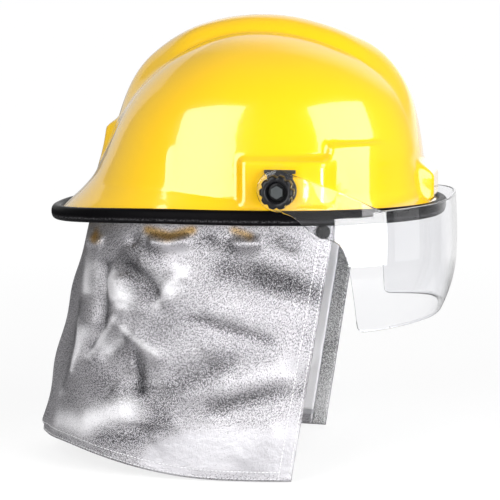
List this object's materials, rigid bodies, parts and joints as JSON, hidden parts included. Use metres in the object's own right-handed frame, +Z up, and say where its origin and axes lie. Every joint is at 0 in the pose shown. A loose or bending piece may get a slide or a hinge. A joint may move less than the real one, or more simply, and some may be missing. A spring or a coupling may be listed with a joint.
{
  "type": "fire helmet",
  "caption": "Fire helmet: crested shell with brim trim, clear swing-up visor on hand-wheel pivots, foam liner, strap cradle with ratchet headband, chin strap and neck curtain.",
  "frame": {"origin": "centre of the brim opening, at the height of the brim edge, where the wearer's head enters", "axes": "+Z up through the crown, -Y the way the wearer faces, -X the wearer's right"},
  "size_m": [0.282, 0.3534, 0.3755],
  "materials": {
    "shell_yellow": "gloss",
    "trim_rubber": "satin",
    "liner_foam": "matte",
    "black_plastic": "satin",
    "knob_plastic": "satin",
    "steel": "satin",
    "bolt_steel": "satin",
    "visor_clear": "gloss",
    "fibre": "matte",
    "band_plastic": "satin",
    "pad_fabric": "matte",
    "webbing": "matte",
    "acetal": "satin",
    "button_red": "gloss",
    "aluminised_cloth": "metallic satin",
    "lining_cloth": "matte",
    "fastener_tape": "matte"
  },
  "bodies": {
    "helmet": {"shell": "shell_yellow", "edge_trim": "trim_rubber", "impact_liner": "liner_foam", "pivot_bracket_right": "black_plastic", "pivot_bracket_left": "black_plastic", "pivot_bushes": "steel", "pivot_nuts": "steel", "headband": "band_plastic", "brow_pad": "pad_fabric", "nape_pad": "pad_fabric", "crown_straps": "webbing", "crown_patch": "webbing", "cradle_hangers": "black_plastic", "nape_housing": "black_plastic", "nape_cover": "black_plastic", "cover_screws": "steel", "strap_anchors": "black_plastic", "anchor_screws": "steel", "strap_studs": "steel", "neck_curtain": "aluminised_cloth", "curtain_lining": "lining_cloth", "curtain_fasteners": "fastener_tape", "curtain_band": "webbing", "curtain_snaps": "black_plastic"},
    "visor": {"visor": "visor_clear", "visor_washers": "fibre"},
    "knob_right": {"visor_knob_right": "knob_plastic", "pivot_bolt_right": "bolt_steel", "thrust_washer_right": "steel"},
    "knob_left": {"visor_knob_left": "knob_plastic", "pivot_bolt_left": "bolt_steel", "thrust_washer_left": "steel"},
    "ratchet": {"ratchet_knob": "knob_plastic", "ratchet_pinion": "acetal"},
    "rack_right": {"rack_right": "band_plastic"},
    "rack_left": {"rack_left": "band_plastic"},
    "chin_strap": {"strap_end_plates": "black_plastic", "chin_strap_upper": "webbing", "chin_strap_lower": "webbing", "buckle_female": "black_plastic", "buckle_male": "black_plastic", "strap_slider": "black_plastic", "chin_cup": "black_plastic"},
    "buckle_button": {"buckle_button": "button_red"}
  },
  "joints": [
    {"name": "visor_tilt", "type": "hinge", "parent": "helmet", "child": "visor", "pos_m": [0, -0.043, 0.0225], "axis": [-1, 0, 0], "range_deg": [0, 70]},
    {"name": "knob_right_turn", "type": "hinge", "parent": "helmet", "child": "knob_right", "pos_m": [-0.135, -0.043, 0.0225], "axis": [-1, 0, 0], "range_deg": [0, 180]},
    {"name": "knob_left_turn", "type": "hinge", "parent": "helmet", "child": "knob_left", "pos_m": [0.135, -0.043, 0.0225], "axis": [1, 0, 0], "range_deg": [-180, 0]},
    {"name": "ratchet_turn", "type": "hinge", "parent": "helmet", "child": "ratchet", "pos_m": [0, 0.12, 0.008], "axis": [0, 1, 0], "range_deg": [-70, 70]},
    {"name": "rack_right_slide", "type": "slide", "parent": "helmet", "child": "rack_right", "axis": [1, 0, 0], "range_m": [-0.0076, 0.0076]},
    {"name": "rack_left_slide", "type": "slide", "parent": "helmet", "child": "rack_left", "axis": [-1, 0, 0], "range_m": [-0.0076, 0.0076]},
    {"name": "chin_strap_swing", "type": "hinge", "parent": "helmet", "child": "chin_strap", "pos_m": [0, 0.022, 0.014], "axis": [-1, 0, 0], "range_deg": [-25, 35]},
    {"name": "buckle_press", "type": "slide", "parent": "chin_strap", "child": "buckle_button", "axis": [-0.907, 0, 0.421], "range_m": [0, 0.0013], "stiffness_N_per_m": 700, "springref_m": -0.001}
  ],
  "couplings": [
    {"joint": "rack_right_slide", "follows": "ratchet_turn", "m_per_rad": 0.006},
    {"joint": "rack_left_slide", "follows": "ratchet_turn", "m_per_rad": 0.006}
  ]
}
